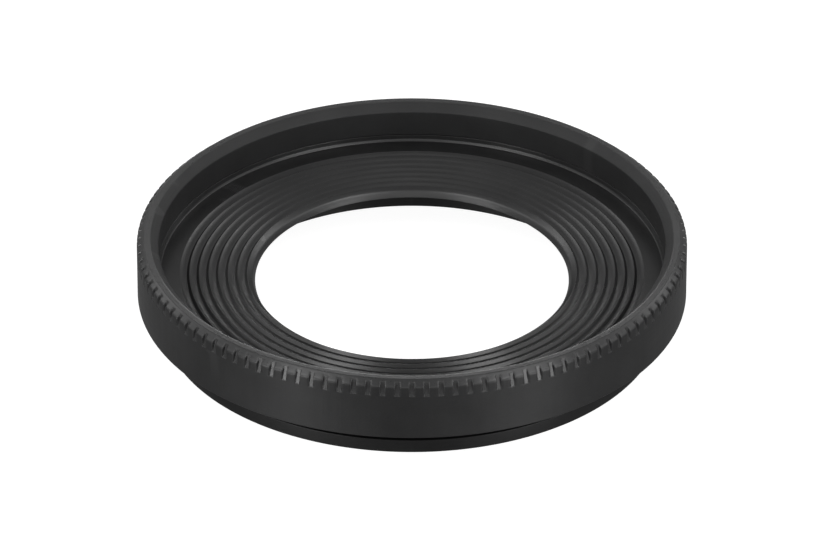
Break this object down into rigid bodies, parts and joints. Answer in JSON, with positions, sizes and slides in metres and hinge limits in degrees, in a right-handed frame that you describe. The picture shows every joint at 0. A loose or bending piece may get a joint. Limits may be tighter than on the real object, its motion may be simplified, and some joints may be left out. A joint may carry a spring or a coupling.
{
  "type": "lens hood",
  "caption": "Low round screw-in lens hood: knurled black shell, concentric ribbed light baffle with a round opening, recessed neck and a plain rear mount ring.",
  "frame": {"origin": "centre of the flat rear face of the mount ring, which is the lowest plane of the object", "axes": "+Z along the optical axis, from the rear face towards the front rim; +X and +Y across the hood, a grip notch centred on each"},
  "size_m": [0.057, 0.057, 0.01],
  "materials": {
    "shell_black": "black anodised, satin, very fine grain",
    "baffle_black": "black anodised, turned ribs, matte satin",
    "mount_black": "black anodised, matte satin",
    "screw_steel": "blackened steel"
  },
  "bodies": {
    "root": {"front_shell": "shell_black", "baffle_ring": "baffle_black", "mount_ring": "mount_black", "lock_screw_1": "screw_steel", "lock_screw_2": "screw_steel", "lock_screw_3": "screw_steel"}
  },
  "joints": []
}
